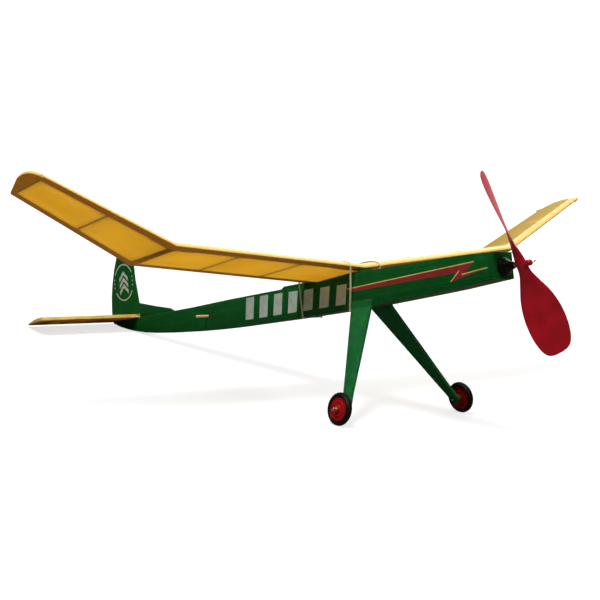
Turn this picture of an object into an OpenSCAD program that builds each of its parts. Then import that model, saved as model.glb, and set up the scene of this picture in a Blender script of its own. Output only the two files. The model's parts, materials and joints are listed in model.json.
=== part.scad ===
// Rubber-powered free-flight model aeroplane with a polyhedral wing.
// Millimetres. It stands on its two wheels and its tail, with +X forward, +Y to port and +Z up.

/* [Wing] */
// length of one inner wing panel, from the centre line to the tip-panel joint
inner_span = 190; // [150:1:230]
// length of one tip panel, from the joint to its end rib
outer_span = 117; // [80:1:150]
// chord of the inner panels
wing_chord = 70; // [50:1:90]
// chord at the end rib
tip_chord = 51; // [35:1:80]
// greatest section depth at the inner panels
wing_depth = 7.5; // [5:0.5:10]
// upward angle of the inner panels
inner_dihedral = 5.3; // [0:0.1:12]
// upward angle of the tip panels
outer_dihedral = 25.6; // [10:0.1:40]
// nose-up angle of the wing on the fuselage
wing_incidence = 3.3; // [0:0.1:5]
// first intermediate rib, measured along the inner panel
rib_one = 65; // [40:1:90]
// second intermediate rib, measured along the inner panel
rib_two = 128; // [100:1:150]
// intermediate rib of the tip panel
rib_outer = 58.5; // [40:0.5:80]

/* [Fuselage] */
// outside width of the parallel front part
body_width = 21; // [16:0.5:30]
// outside width at the tail end
tail_width = 4.4; // [3:0.1:8]
// thickness of the sheet sides, top and bottom
sheet = 1.6; // [1:0.1:3]
// height of the propeller shaft line
shaft_height = 0.6; // [-3:0.1:4]

/* [Tail] */
// half span of the tailplane
tailplane_half = 116.5; // [90:0.5:150]
// chord of the tailplane
tailplane_chord = 60; // [40:1:80]
// thickness of the tailplane frame
tailplane_depth = 3.5; // [2:0.1:6]
// thickness of the fin sheet
fin_sheet = 2; // [1:0.1:3]

/* [Undercarriage] */
// distance from the centre line to each wheel centre
wheel_offset = 68.3; // [50:0.1:90]
// tyre radius
tyre_radius = 13.3; // [8:0.1:20]
// tyre width
tyre_width = 6; // [3:0.1:10]
// radius of the wheel disc
disc_radius = 9.8; // [5:0.1:15]
// outward slope of each leg from the vertical
leg_splay = 31; // [10:0.5:45]
// lean of each wheel
wheel_camber = 9; // [0:0.5:20]

/* [Propeller] */
// radius to the blade tips
blade_radius = 76.2; // [50:0.1:100]
// turn of the blades from the vertical in the rest position
blade_turn = 27; // [-90:1:90]
// blade angle to the disc near the tip
blade_angle = 33; // [20:1:60]

/* [Hidden] */
$fn = 64;
film = 0.3;
strip_gap = 0.05;
// bottom and top of the joint braces above the underside of the wing
brace_low = 0.6;
brace_high = 5;
// share of the chord where the leading edge strip starts behind the tissue
nose_share = 0.002;
wire_radius = 0.6;
running_gap = 0.05;
half_width = body_width / 2;
inner_half = half_width - sheet;
tail_x = -333;
taper_angle = atan((half_width - tail_width / 2) / -tail_x);
nose_x = 247.5;
front_sheet_x = 244.5;
wing_x = 92;
wing_z = 18;
break_y = inner_span * cos(inner_dihedral);
break_z = inner_span * sin(inner_dihedral);
mitre_angle = (inner_dihedral + outer_dihedral) / 2;
leading_strip = 6.4;
trailing_strip = 8;
rib_sheet = 1.6;
tip_sweep = 1.4;
deck_z = 12.2;
tailplane_x = -278;
peg_x = -139.8;
peg_radius = 1.5;
// the end that stands out to starboard is sanded down a little
peg_end_radius = 1.3;
wheel_x = 123.5;
wheel_z = -96.8;
leg_sheet = 2.4;
leg_root_z = -14.8;
leg_root_y = half_width + 2.5;
leg_reach = (leg_root_z - wheel_z) / cos(leg_splay);
axle_radius = 0.75;
hook_x = 234;
hook_radius = 3.4;
strand_radius = 1.4;
loop_radius = 3.2;
boss_back = 260.4;
boss_front = 274.5;
wire_end = 277;
blade_x = 265;
band_y = 17;
band_width = 2.4;
band_sheet = 0.8;
// the wheels and this point of the fuselage bottom touch the ground
skid_x = -318;
skid_z = 5.6;
ground_radius = tyre_radius * cos(wheel_camber);
skid_dx = wheel_x - skid_x;
skid_dz = skid_z - wheel_z;
pitch = atan(skid_dz / skid_dx) + asin(ground_radius / norm([skid_dx, skid_dz]));
lift = ground_radius - wheel_x * sin(pitch) - wheel_z * cos(pitch);
// puts the middle of the whole outline over the origin
slide_x = 27.35;

// fuselage outline seen from the side, as [x, z]
top_edge = [[nose_x, 12], [229, 13.2], [203, 14.1], [146, 15.1], [97, 15.3], [23, 13.2],
    [-14, 13.2], [-62, 13.2], [-95, 13.1], [-165, deck_z], [tail_x, deck_z]];
bottom_edge = [[nose_x, -8.6], [231, -9.6], [200, -11.3], [178, -12.1], [142, -13.2], [118, -13.9],
    [80, -14.8], [0, -15], [-40, -14.9], [-100, -14.4], [-133, -13.7], [-168, -12.4], [-206, -10.3],
    [-240, -7.7], [-265, -5], [-285, -1.9], [-302, 1.6], [skid_x, skid_z], [tail_x, 10.8]];

// put the level aeroplane on the ground
module stand() {
    translate([slide_x, 0, lift])
        rotate([0, -pitch, 0])
            children();
}

// a plate of a side-view outline between two widths
module plate(y0, y1) {
    translate([0, y1, 0])
        rotate([90, 0, 0])
            linear_extrude(y1 - y0)
                children();
}

// a cylinder along the fuselage
module along_x(x0, x1, r) {
    translate([x0, 0, shaft_height])
        rotate([0, 90, 0])
            cylinder(r = r, h = x1 - x0);
}

// a cone along the fuselage
module cone_x(x0, x1, r0, r1) {
    translate([x0, 0, shaft_height])
        rotate([0, 90, 0])
            cylinder(r1 = r0, r2 = r1, h = x1 - x0);
}

// a cylinder across the fuselage
module across(x, z, y0, y1, r) {
    translate([x, y0, z])
        rotate([-90, 0, 0])
            cylinder(r = r, h = y1 - y0);
}

function reversed(list) = [for (i = [len(list) - 1:-1:0]) list[i]];
function raised(list, dz) = [for (p = list) [p[0], p[1] + dz]];

module side_outline() {
    polygon(concat(top_edge, reversed(bottom_edge)));
}

module inside_outline() {
    polygon(concat(raised(top_edge, -sheet), reversed(raised(bottom_edge, sheet))));
}

// the space between the sides, over one stretch of the length
module inside_plan(x0, x1) {
    tail_half = tail_width / 2 - sheet;
    intersection() {
        translate([0, 0, -40])
            linear_extrude(80)
                polygon([[tail_x, -tail_half], [0, -inner_half], [300, -inner_half],
                    [300, inner_half], [0, inner_half], [tail_x, tail_half]]);
        translate([x0, -30, -40])
            cube([x1 - x0, 60, 80]);
    }
}

// one side sheet, parallel in front and bent inward behind the wing
module side() {
    back = -350;
    back_half = half_width + (half_width - tail_width / 2) * back / -tail_x;
    difference() {
        intersection() {
            plate(-1, half_width + 1)
                side_outline();
            translate([0, 0, -40])
                linear_extrude(80)
                    polygon([[back, back_half - sheet], [0, inner_half], [300, inner_half],
                        [300, half_width], [0, half_width], [back, back_half]]);
        }
        across(peg_x, shaft_height, -30, 30, peg_radius + running_gap);
    }
}

module fuselage_side_port() {
    color([0.05, 0.3, 0.13])
        stand()
            side();
}

module fuselage_side_starboard() {
    color([0.05, 0.3, 0.13])
        stand()
            mirror([0, 1, 0])
                side();
}

module between_sides(x0, x1) {
    intersection() {
        plate(-30, 30)
            children();
        inside_plan(x0, x1);
    }
}

module fuselage_top_sheet() {
    color([0.07, 0.34, 0.15])
        stand()
            between_sides(-302, front_sheet_x)
                polygon(concat(top_edge, reversed(raised(top_edge, -sheet))));
}

module fuselage_bottom_sheet() {
    color([0.2, 0.25, 0.08])
        stand()
            between_sides(-302, front_sheet_x)
                polygon(concat(bottom_edge, reversed(raised(bottom_edge, sheet))));
}

// a cross frame that fills the fuselage, with a round opening for the rubber
module former(x, hole) {
    difference() {
        between_sides(x, x + sheet)
            inside_outline();
        along_x(x - 1, x + sheet + 1, hole);
    }
}

module nose_former() {
    color([0.72, 0.58, 0.38])
        stand()
            difference() {
                between_sides(front_sheet_x, nose_x)
                    side_outline();
                along_x(front_sheet_x - 1, nose_x + 1, 4.75);
            }
}

module leg_former() {
    color([0.76, 0.62, 0.42])
        stand()
            former(100, 6.6);
}

module wing_former() {
    color([0.76, 0.62, 0.42])
        stand()
            former(20, 6.6);
}

module peg_former() {
    color([0.76, 0.62, 0.42])
        stand()
            former(-126, 5.2);
}

module tail_block() {
    color([0.76, 0.62, 0.42])
        stand()
            between_sides(tail_x, -302)
                side_outline();
}

// hard sheet glued inside each side around the peg hole
module peg_plate() {
    difference() {
        translate([0, half_width, 0])
            rotate([0, 0, taper_angle])
                translate([peg_x - 9, -sheet - 0.8, shaft_height - 9])
                    cube([18, 0.8, 18]);
        across(peg_x, shaft_height, -30, 30, peg_radius + running_gap);
    }
}

module peg_plate_port() {
    color([0.62, 0.45, 0.26])
        stand()
            peg_plate();
}

module peg_plate_starboard() {
    color([0.62, 0.45, 0.26])
        stand()
            mirror([0, 1, 0])
                peg_plate();
}

// place things drawn on the port inner panel: x back from the leading edge is negative, y along span
module inner_panel() {
    translate([wing_x, 0, wing_z])
        rotate([0, -wing_incidence, 0])
            rotate([inner_dihedral, 0, 0])
                children();
}

// place things drawn on the port tip panel
module tip_panel() {
    translate([wing_x, 0, wing_z])
        rotate([0, -wing_incidence, 0])
            translate([0, break_y, break_z])
                rotate([outer_dihedral, 0, 0])
                    children();
}

// keep the part inboard of the mitred panel joint
module inboard() {
    intersection() {
        children();
        translate([wing_x, 0, wing_z])
            rotate([0, -wing_incidence, 0])
                translate([0, break_y, break_z])
                    rotate([mitre_angle, 0, 0])
                        translate([-150, -400, -100])
                            cube([300, 400, 200]);
    }
}

// keep the part outboard of the mitred panel joint
module outboard() {
    intersection() {
        children();
        translate([wing_x, 0, wing_z])
            rotate([0, -wing_incidence, 0])
                translate([0, break_y, break_z])
                    rotate([mitre_angle, 0, 0])
                        translate([-150, 0, -100])
                            cube([300, 300, 200]);
    }
}

module port_half() {
    intersection() {
        children();
        translate([-500, 0, -200])
            cube([1000, 500, 400]);
    }
}

// rise of the upper surface along the chord, as a share of the greatest depth
function rise(s) = 10 * (0.2969 * sqrt(s) - 0.126 * s - 0.3516 * s * s + 0.2843 * pow(s, 3)
    - 0.1015 * pow(s, 4));
function nose_lift(s) = s < 0.07 ? 0.24 * pow(1 - s / 0.07, 2) : 0;
function upper(s, t) = t * (s < 0.3 ? 0.24 + 0.76 * rise(s) : rise(s)) + 0.9 * s;
function lower(s, t) = t * nose_lift(s);

// the part of the section between two shares of the chord, as [x, z]
function section(c, t, s0, s1, n) = concat(
    [for (i = [0:n]) let (s = s0 + (s1 - s0) * i * i / (n * n)) [-s * c, upper(s, t)]],
    [for (i = [n:-1:0]) let (s = s0 + (s1 - s0) * i * i / (n * n)) [-s * c, lower(s, t)]]);

// the same stretch a hair inside the surface, so that wood and covering don't cross
function core(c, t, s0, s1, n) = concat(
    [for (i = [0:n]) let (s = s0 + (s1 - s0) * i * i / (n * n))
        [strip_gap * (2 * s - 1) - s * c, upper(s, t) - strip_gap]],
    [for (i = [n:-1:0]) let (s = s0 + (s1 - s0) * i * i / (n * n))
        [strip_gap * (2 * s - 1) - s * c, lower(s, t) + strip_gap]]);

// the whole section with its surface moved outward by g
function skin(c, t, g, n) = concat(
    [for (i = [0:n]) let (s = i * i / (n * n)) [g * (1 - 2 * s) - s * c, upper(s, t) + g]],
    [for (i = [n:-1:0]) let (s = i * i / (n * n)) [g * (1 - 2 * s) - s * c, lower(s, t) - g]]);

function chord_at(y) = wing_chord + (tip_chord - wing_chord) * y / outer_span;
function depth_at(y) = wing_depth * chord_at(y) / wing_chord;
function sweep_at(y) = -tip_sweep * y / outer_span;

// a closed solid between two outlines drawn at two spanwise stations
module loft(a, b, ya, yb) {
    n = len(a);
    pa = [for (p = a) [p[0], ya, p[1]]];
    pb = [for (p = b) [p[0], yb, p[1]]];
    first = [for (i = [0:n - 1]) [i, (i + 1) % n, n + (i + 1) % n]];
    second = [for (i = [0:n - 1]) [i, n + (i + 1) % n, n + i]];
    polyhedron(points = concat(pa, pb), faces = concat([[for (i = [n - 1:-1:0]) i]],
        [[for (i = [0:n - 1]) n + i]], first, second), convexity = 4);
}

// a strip of the tip panel between two shares of the chord
module tip_strip(front, back, n) {
    ya = -4;
    yb = outer_span;
    a = core(chord_at(ya), depth_at(ya), front[0], back[0], n);
    b = core(chord_at(yb), depth_at(yb), front[1], back[1], n);
    loft([for (p = a) [p[0] + sweep_at(ya), p[1]]], [for (p = b) [p[0] + sweep_at(yb), p[1]]], ya, yb);
}

module inner_leading_edge() {
    port_half()
        inboard()
            inner_panel()
                plate(-4, inner_span + 4)
                    polygon(core(wing_chord, wing_depth, nose_share, leading_strip / wing_chord, 12));
}

module inner_trailing_edge() {
    port_half()
        inboard()
            inner_panel()
                plate(-4, inner_span + 4)
                    polygon(core(wing_chord, wing_depth, 1 - trailing_strip / wing_chord, 1, 2));
}

module inner_rib(y) {
    plate(y, y + rib_sheet)
        polygon(section(wing_chord, wing_depth, leading_strip / wing_chord,
            1 - trailing_strip / wing_chord, 16));
}

module inner_ribs() {
    difference() {
        port_half()
            inboard()
                inner_panel() {
                    inner_rib(1.4);
                    inner_rib(rib_one - rib_sheet / 2);
                    inner_rib(rib_two - rib_sheet / 2);
                    inner_rib(inner_span - 3.4);
                }
        brace_half();
        joint_brace();
    }
}

// tissue skin wrapped all round a panel
module inner_covering() {
    port_half()
        inboard()
            inner_panel()
                difference() {
                    plate(-4, inner_span + 4)
                        polygon(skin(wing_chord, wing_depth, film, 22));
                    plate(-5, inner_span + 5)
                        polygon(section(wing_chord, wing_depth, 0, 1, 22));
                }
}

module tip_leading_edge() {
    outboard()
        tip_panel()
            tip_strip([nose_share, nose_share],
                [leading_strip / wing_chord, leading_strip * 0.85 / tip_chord], 12);
}

module tip_trailing_edge() {
    outboard()
        tip_panel()
            tip_strip([1 - trailing_strip / wing_chord, 1 - trailing_strip * 0.85 / tip_chord],
                [1, 1], 1);
}

module tip_rib(y) {
    share = y / outer_span;
    front = leading_strip / wing_chord * (1 - share) + leading_strip * 0.85 / tip_chord * share;
    back = 1 - trailing_strip / wing_chord * (1 - share) - trailing_strip * 0.85 / tip_chord * share;
    translate([sweep_at(y), 0, 0])
        plate(y, y + rib_sheet)
            polygon(section(chord_at(y), depth_at(y) - 0.1, front + 0.004, back - 0.004, 16));
}

module tip_ribs() {
    difference() {
        outboard()
            tip_panel() {
                tip_rib(1.8);
                tip_rib(rib_outer - rib_sheet / 2);
                tip_rib(outer_span - rib_sheet);
            }
        joint_brace();
    }
}

module tip_covering() {
    ya = -4;
    yb = outer_span;
    oa = skin(chord_at(ya), depth_at(ya), film, 22);
    ob = skin(chord_at(yb), depth_at(yb), film, 22);
    ia = section(chord_at(-5), depth_at(-5), 0, 1, 22);
    ib = section(chord_at(yb + 1), depth_at(yb + 1), 0, 1, 22);
    outboard()
        tip_panel()
            difference() {
                loft([for (p = oa) [p[0] + sweep_at(ya), p[1]]],
                    [for (p = ob) [p[0] + sweep_at(yb), p[1]]], ya, yb);
                loft([for (p = ia) [p[0] + sweep_at(-5), p[1]]],
                    [for (p = ib) [p[0] + sweep_at(yb + 1), p[1]]], -5, yb + 1);
            }
}

// flat rounded sheet beyond the end rib
module tip_plate() {
    tip_panel()
        translate([sweep_at(outer_span), outer_span, 0])
            linear_extrude(2.4)
                polygon([[0, 0], [0.2, 2.6], [-0.6, 5.6], [-2.4, 8.4], [-5.5, 10.1], [-10, 10.9],
                    [-16, 10.9], [-22, 10], [-28, 8.3], [-34, 6.4], [-40, 4.6], [-45, 3],
                    [-tip_chord, 1.2], [-tip_chord, 0]]);
}

// a point drawn at y and z on the inner or tip panel, seen from the front
function on_inner(y, z) = [y * cos(inner_dihedral) - z * sin(inner_dihedral),
    y * sin(inner_dihedral) + z * cos(inner_dihedral)];
function on_tip(y, z) = [break_y + y * cos(outer_dihedral) - z * sin(outer_dihedral),
    break_z + y * sin(outer_dihedral) + z * cos(outer_dihedral)];
function at_joint(z) = on_inner(inner_span - z * tan(mitre_angle - inner_dihedral), z);

// bent hard sheet across the panel joint, let into the ribs behind the leading edge
module joint_brace() {
    translate([wing_x, 0, wing_z])
        rotate([0, -wing_incidence, 0])
            translate([-leading_strip - rib_sheet, 0, 0])
                rotate([90, 0, 90])
                    linear_extrude(1.2)
                        polygon([on_inner(inner_span - 22, brace_low), at_joint(brace_low),
                            on_tip(20, brace_low), on_tip(20, brace_high), at_joint(brace_high),
                            on_inner(inner_span - 22, brace_high)]);
}

module brace_half() {
    port_half()
        inner_panel()
            translate([-leading_strip - rib_sheet, -4, 0.6])
                cube([1.2, 34, 5]);
}

module centre_brace() {
    color([0.62, 0.45, 0.26])
        stand()
            both_sides()
                brace_half();
}

module inner_leading_edge_port() {
    color([0.9, 0.68, 0.3])
        stand()
            inner_leading_edge();
}

module inner_leading_edge_starboard() {
    color([0.9, 0.68, 0.3])
        stand()
            mirror([0, 1, 0])
                inner_leading_edge();
}

module inner_trailing_edge_port() {
    color([0.8, 0.58, 0.25])
        stand()
            inner_trailing_edge();
}

module inner_trailing_edge_starboard() {
    color([0.8, 0.58, 0.25])
        stand()
            mirror([0, 1, 0])
                inner_trailing_edge();
}

module inner_ribs_port() {
    color([0.82, 0.68, 0.45])
        stand()
            inner_ribs();
}

module inner_ribs_starboard() {
    color([0.82, 0.68, 0.45])
        stand()
            mirror([0, 1, 0])
                inner_ribs();
}

module inner_covering_port() {
    color([0.93, 0.68, 0.2])
        stand()
            inner_covering();
}

module inner_covering_starboard() {
    color([0.93, 0.68, 0.2])
        stand()
            mirror([0, 1, 0])
                inner_covering();
}

module tip_leading_edge_port() {
    color([0.9, 0.68, 0.3])
        stand()
            tip_leading_edge();
}

module tip_leading_edge_starboard() {
    color([0.9, 0.68, 0.3])
        stand()
            mirror([0, 1, 0])
                tip_leading_edge();
}

module tip_trailing_edge_port() {
    color([0.8, 0.58, 0.25])
        stand()
            tip_trailing_edge();
}

module tip_trailing_edge_starboard() {
    color([0.8, 0.58, 0.25])
        stand()
            mirror([0, 1, 0])
                tip_trailing_edge();
}

module tip_ribs_port() {
    color([0.82, 0.68, 0.45])
        stand()
            tip_ribs();
}

module tip_ribs_starboard() {
    color([0.82, 0.68, 0.45])
        stand()
            mirror([0, 1, 0])
                tip_ribs();
}

module tip_covering_port() {
    color([0.93, 0.68, 0.2])
        stand()
            tip_covering();
}

module tip_covering_starboard() {
    color([0.93, 0.68, 0.2])
        stand()
            mirror([0, 1, 0])
                tip_covering();
}

module tip_plate_port() {
    color([0.6, 0.35, 0.1])
        stand()
            tip_plate();
}

module tip_plate_starboard() {
    color([0.6, 0.35, 0.1])
        stand()
            mirror([0, 1, 0])
                tip_plate();
}

module joint_brace_port() {
    color([0.62, 0.45, 0.26])
        stand()
            joint_brace();
}

module joint_brace_starboard() {
    color([0.62, 0.45, 0.26])
        stand()
            mirror([0, 1, 0])
                joint_brace();
}

// raised seat that follows the shallow V of the wing underside
module wing_platform() {
    color([0.06, 0.32, 0.14])
        stand()
            difference() {
                plate(-half_width, half_width)
                    polygon([[97, 15.3], [96.6, 20], [22.2, 20], [22.2, 15.4], [-9, 15.3], [-14, 13.2],
                        [23, 13.2]]);
                wing_space();
                mirror([0, 1, 0])
                    wing_space();
            }
}

module wing_space() {
    inner_panel()
        translate([-wing_chord - film - 0.1, -30, -film])
            cube([wing_chord + 20, 60, 30]);
}

module tailplane_outline() {
    back = tailplane_x - tailplane_chord;
    polygon([[tailplane_x - 1, 0], [tailplane_x, 8], [tailplane_x, tailplane_half - 3.4],
        [tailplane_x - 0.9, tailplane_half - 1.5], [tailplane_x - 3, tailplane_half - 0.3],
        [tailplane_x - 6, tailplane_half], [tailplane_x - 15, tailplane_half - 1.2],
        [tailplane_x - 30, tailplane_half - 4.4], [tailplane_x - 45, tailplane_half - 8],
        [tailplane_x - 54, tailplane_half - 10.4], [tailplane_x - 58.5, tailplane_half - 12.4],
        [back, tailplane_half - 15.5], [back, 0]]);
}

// height of the tailplane frame at a place along the fuselage, thinnest at the trailing edge
function tail_height(x) = tailplane_depth * lookup(tailplane_x - x,
    [[0, 0.84], [0.8, 1], [16, 1], [30, 0.8], [45, 0.48], [60, 0.22]]);
tail_top = [for (d = [0, 0.8, 16, 30, 45, 60])
    [tailplane_x - d, deck_z + film + tail_height(tailplane_x - d)]];

module tailplane_band(x0, x1, y0, y1) {
    intersection() {
        translate([0, 0, deck_z + film])
            linear_extrude(2 * tailplane_depth)
                intersection() {
                    tailplane_outline();
                    translate([x0, y0])
                        square([x1 - x0, y1 - y0]);
                }
        plate(-200, 200)
            polygon(concat(tail_top, [[tailplane_x - 60, deck_z], [tailplane_x, deck_z]]));
    }
}

module both_sides() {
    children();
    mirror([0, 1, 0])
        children();
}

module tailplane_leading_edge() {
    color([0.9, 0.68, 0.3])
        stand()
            both_sides()
                tailplane_band(tailplane_x - 6, tailplane_x + 1, 0, tailplane_half - 20);
}

module tailplane_trailing_edge() {
    color([0.8, 0.58, 0.25])
        stand()
            both_sides()
                tailplane_band(tailplane_x - tailplane_chord, tailplane_x - tailplane_chord + 6, 0,
                    tailplane_half - 20);
}

module tailplane_tip_port() {
    color([0.62, 0.4, 0.14])
        stand()
            tailplane_band(tailplane_x - 90, tailplane_x + 5, tailplane_half - 20, 200);
}

module tailplane_tip_starboard() {
    color([0.62, 0.4, 0.14])
        stand()
            mirror([0, 1, 0])
                tailplane_band(tailplane_x - 90, tailplane_x + 5, tailplane_half - 20, 200);
}

module tailplane_rib(y, w) {
    tailplane_band(tailplane_x - tailplane_chord + 6, tailplane_x - 6, y, y + w);
}

module tailplane_ribs() {
    color([0.82, 0.68, 0.45])
        stand()
            both_sides() {
                tailplane_rib(0, 4);
                tailplane_rib(34, rib_sheet);
                tailplane_rib(70, rib_sheet);
            }
}

module tailplane_film(height) {
    translate([0, 0, deck_z])
        linear_extrude(height)
            both_sides()
                tailplane_outline();
}

module tailplane_covering() {
    color([0.93, 0.68, 0.2])
        stand() {
            tailplane_film(film);
            intersection() {
                tailplane_film(10);
                plate(-200, 200)
                    polygon(concat(tail_top, reversed(raised(tail_top, film))));
            }
        }
}

module fin() {
    color([0.05, 0.3, 0.13])
        stand()
            plate(-fin_sheet / 2, fin_sheet / 2)
                polygon(concat([[-337.5, 16], [-337, 25], [-335.3, 40.7], [-332, 54], [-326.5, 69],
                    [-319.5, 82.5], [-314, 90], [-307, 94.8], [-299, 96.2], [-291.8, 93.4],
                    [-287.4, 87], [-285.6, 78], [-284.8, 66], [-283.9, 54], [-281.6, 42.6],
                    [-278.9, 28]], [for (x = [-279, -294, -308, -323, -337.5])
                        [x, deck_z + 2 * film + tail_height(x)]]));
}

// low strip on the fuselage top that leads into the fin
module fin_fillet() {
    color([0.05, 0.3, 0.13])
        stand()
            plate(-fin_sheet / 2, fin_sheet / 2)
                polygon([[-208, deck_z], [-218, 16.4], [-247, 21.6], [-277.9, 28], [-277.9, deck_z]]);
}

// place things at the port wheel, with y along the axle
module at_wheel() {
    translate([wheel_x, wheel_offset, wheel_z])
        rotate([wheel_camber, 0, 0])
            children();
}

module ring_y(y0, y1, r, bore) {
    rotate([-90, 0, 0])
        difference() {
            translate([0, 0, y0])
                cylinder(r = r, h = y1 - y0);
            translate([0, 0, y0 - 1])
                cylinder(r = bore, h = y1 - y0 + 2);
        }
}

module leg() {
    difference() {
        union() {
            translate([0, leg_root_y, leg_root_z])
                rotate([leg_splay, 0, 0])
                    plate(-leg_sheet, 0) {
                        polygon([[108.4, 2], [108.2, 0], [118.3, -50], [123.9, -80],
                            [128.1, -leg_reach], [118.9, -leg_reach], [113.2, -80], [83.6, 0],
                            [83.6, 2]]);
                        translate([wheel_x, -leg_reach])
                            circle(r = 4.6);
                    }
            plate(half_width, half_width + leg_sheet)
                polygon([[108.9, leg_root_z + 6.5], [108.2, leg_root_z - 0.4],
                    [84, leg_root_z - 0.4], [85, leg_root_z + 6.5]]);
        }
        translate([0, 0, -30])
            cube([200, half_width, 60]);
        at_wheel()
            rotate([-90, 0, 0])
                translate([0, 0, -14])
                    cylinder(r = axle_radius, h = 20);
    }
}

module leg_port() {
    color([0.08, 0.38, 0.18])
        stand()
            leg();
}

module leg_starboard() {
    color([0.08, 0.38, 0.18])
        stand()
            mirror([0, 1, 0])
                leg();
}

// wire through the leg and the wheel, with its outer end turned back
module axle() {
    at_wheel() {
        rotate([-90, 0, 0])
            translate([0, 0, -10.5])
                cylinder(r = axle_radius, h = 16.5);
        translate([0, 6, 0])
            sphere(r = axle_radius);
        translate([0, 6, 0])
            rotate([0, -120, 0])
                cylinder(r = axle_radius, h = 3);
    }
}

module tyre() {
    at_wheel()
        rotate([-90, 0, 0])
            rotate_extrude()
                polygon([[disc_radius, -tyre_width * 0.34], [disc_radius + 1, -tyre_width * 0.47],
                    [disc_radius + 1.8, -tyre_width / 2], [tyre_radius - 1.1, -tyre_width * 0.42],
                    [tyre_radius - 0.3, -tyre_width * 0.24], [tyre_radius, 0],
                    [tyre_radius - 0.3, tyre_width * 0.24], [tyre_radius - 1.1, tyre_width * 0.42],
                    [disc_radius + 1.8, tyre_width / 2], [disc_radius + 1, tyre_width * 0.47],
                    [disc_radius, tyre_width * 0.34]]);
}

// solid plastic wheel disc, domed on both faces
module wheel_disc() {
    at_wheel()
        rotate([-90, 0, 0])
            rotate_extrude()
                polygon([[axle_radius + running_gap, -3.2], [2.4, -3.2], [2.7, -2.6], [6, -2.1],
                    [disc_radius - 0.6, -1.5], [disc_radius, -1.2], [disc_radius, 1.2],
                    [disc_radius - 0.6, 1.5], [6, 2.1], [2.7, 2.6], [2.4, 3.2],
                    [axle_radius + running_gap, 3.2]]);
}

module axle_washer() {
    at_wheel()
        ring_y(3.5, 4.1, 1.9, axle_radius);
}

module axle_port() {
    color([0.6, 0.58, 0.54])
        stand()
            axle();
}

module axle_starboard() {
    color([0.6, 0.58, 0.54])
        stand()
            mirror([0, 1, 0])
                axle();
}

module tyre_port() {
    color([0.04, 0.035, 0.035])
        stand()
            tyre();
}

module tyre_starboard() {
    color([0.04, 0.035, 0.035])
        stand()
            mirror([0, 1, 0])
                tyre();
}

module wheel_disc_port() {
    color([0.55, 0.05, 0.06])
        stand()
            wheel_disc();
}

module wheel_disc_starboard() {
    color([0.55, 0.05, 0.06])
        stand()
            mirror([0, 1, 0])
                wheel_disc();
}

module axle_washer_port() {
    color([0.7, 0.6, 0.35])
        stand()
            axle_washer();
}

module axle_washer_starboard() {
    color([0.7, 0.6, 0.35])
        stand()
            mirror([0, 1, 0])
                axle_washer();
}

// black plug with a round flange and a conical snout, pulled out of the nose to wind the rubber
module nose_button() {
    color([0.03, 0.03, 0.03])
        stand()
            difference() {
                union() {
                    along_x(238.6, nose_x + 0.5, 4.7);
                    along_x(nose_x + 0.02, nose_x + 2.2, 7.4);
                    cone_x(nose_x + 2.2, nose_x + 4, 7.4, 5.2);
                    cone_x(nose_x + 4, 259, 5.2, 2.2);
                }
                along_x(230, 262, wire_radius + running_gap);
            }
}

module thrust_washer() {
    color([0.75, 0.62, 0.3])
        stand()
            difference() {
                along_x(259.15, 260.15, 2.1);
                along_x(255, 262, wire_radius);
            }
}

// wire with a round hook for the rubber and a short turned front end that drives the blades
module propeller_shaft() {
    color([0.72, 0.6, 0.32])
        stand()
            union() {
                along_x(hook_x + hook_radius, wire_end, wire_radius);
                translate([hook_x, 0, shaft_height])
                    rotate_extrude()
                        translate([hook_radius, 0])
                            circle(r = wire_radius);
                translate([wire_end, 0, shaft_height])
                    sphere(r = wire_radius);
                translate([wire_end, 0, shaft_height])
                    rotate([-60, 0, 0])
                        cylinder(r = wire_radius, h = 2.4);
            }
}

// blade stations: radius, chord, greatest thickness, blade angle
blade_list = [[0, 8.8, 8.2, 90], [4, 8.8, 7.4, 66], [8, 9.8, 6.3, 55], [12, 12.4, 5, 50.5],
    [18, 17, 3.6, 46.5], [26, 23.2, 2.4, 42.5], [35, 27.8, 1.7, 39.5], [45, 30.4, 1.3, 37],
    [55, 30.4, 1.1, 34.8], [63, 28.4, 1, 33], [69, 25, 0.95, 31.8], [73, 20.4, 0.9, 31.2],
    [75.4, 14.5, 0.9, 31], [blade_radius, 7.5, 0.9, 30.9]];
blade_points = 12;

// outline of the blade at a station; way is 1 for the upper blade and -1 for the lower one
function blade_ring(st, way) = [for (i = [0:blade_points - 1])
    let (a = -30 * i * way, u = st[1] / 2 * cos(a), v = st[2] / 2 * sin(a),
        b = st[0] == 0 ? 90 : st[3] + blade_angle - 33)
    [v * cos(b) - u * sin(b), way * (u * cos(b) + v * sin(b)), way * st[0]]];

// both blades in one piece, with the upper one pointing up along z
module blades() {
    n = blade_points;
    last = len(blade_list) - 1;
    rings = concat([for (k = [last:-1:1]) blade_ring(blade_list[k], -1)],
        [for (k = [0:last]) blade_ring(blade_list[k], 1)]);
    m = len(rings);
    polyhedron(points = [for (ring = rings) for (p = ring) p],
        faces = concat([[for (i = [0:n - 1]) i]],
            [for (k = [0:m - 2]) for (i = [0:n - 1])
                [k * n + i, (k + 1) * n + i, (k + 1) * n + (i + 1) % n]],
            [for (k = [0:m - 2]) for (i = [0:n - 1])
                [k * n + i, (k + 1) * n + (i + 1) % n, k * n + (i + 1) % n]],
            [[for (i = [n - 1:-1:0]) (m - 1) * n + i]]), convexity = 4);
}

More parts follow.
